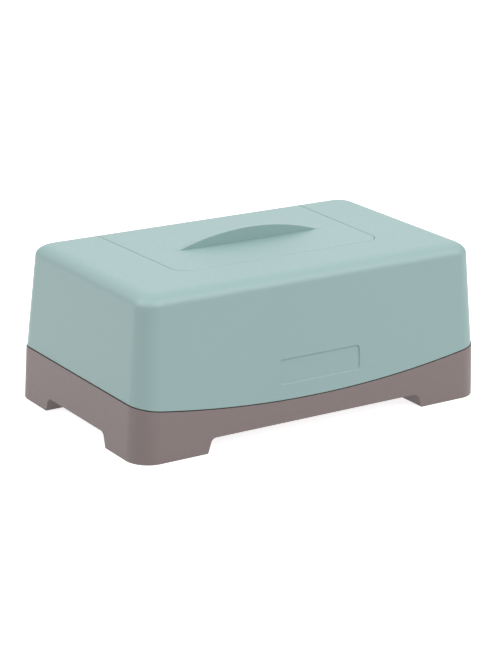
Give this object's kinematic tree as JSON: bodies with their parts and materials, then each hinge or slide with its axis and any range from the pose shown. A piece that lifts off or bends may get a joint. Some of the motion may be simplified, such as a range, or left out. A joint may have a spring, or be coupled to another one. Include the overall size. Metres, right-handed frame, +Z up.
{
  "type": "baby wipes box",
  "caption": "Two-tone storage box for baby wipes: a footed base tray, a lift-off cover and a hinged lid with an arched finger lip.",
  "frame": {"origin": "on the ground under the middle of the box", "axes": "+X along the long side, +Y from the front long side to the hinge, +Z up"},
  "size_m": [0.23, 0.1378, 0.0984],
  "materials": {
    "taupe_plastic": "fine moulded texture, satin",
    "mint_plastic": "fine moulded texture, satin",
    "mint_lid_plastic": "fine moulded texture, satin",
    "pad_rubber": "matte",
    "gasket_silicone": "matte",
    "seal_silicone": "matte",
    "pin_steel": "drawn"
  },
  "bodies": {
    "base": {"base_tray": "taupe_plastic", "base_gasket": "gasket_silicone", "foot_pad_front_left": "pad_rubber", "foot_pad_front_right": "pad_rubber", "foot_pad_back_left": "pad_rubber", "foot_pad_back_right": "pad_rubber"},
    "cover": {"cover_shell": "mint_plastic", "hinge_pin_left": "pin_steel", "hinge_pin_right": "pin_steel"},
    "lid": {"lid": "mint_lid_plastic", "lid_seal": "seal_silicone"}
  },
  "joints": [
    {"name": "cover_lift", "type": "slide", "parent": "base", "child": "cover", "axis": [0, 0, 1], "range_m": [0, 0.12]},
    {"name": "lid_hinge", "type": "hinge", "parent": "cover", "child": "lid", "pos_m": [0, 0.06039, 0.078], "axis": [-1, 0, 0], "range_deg": [0, 100]}
  ]
}
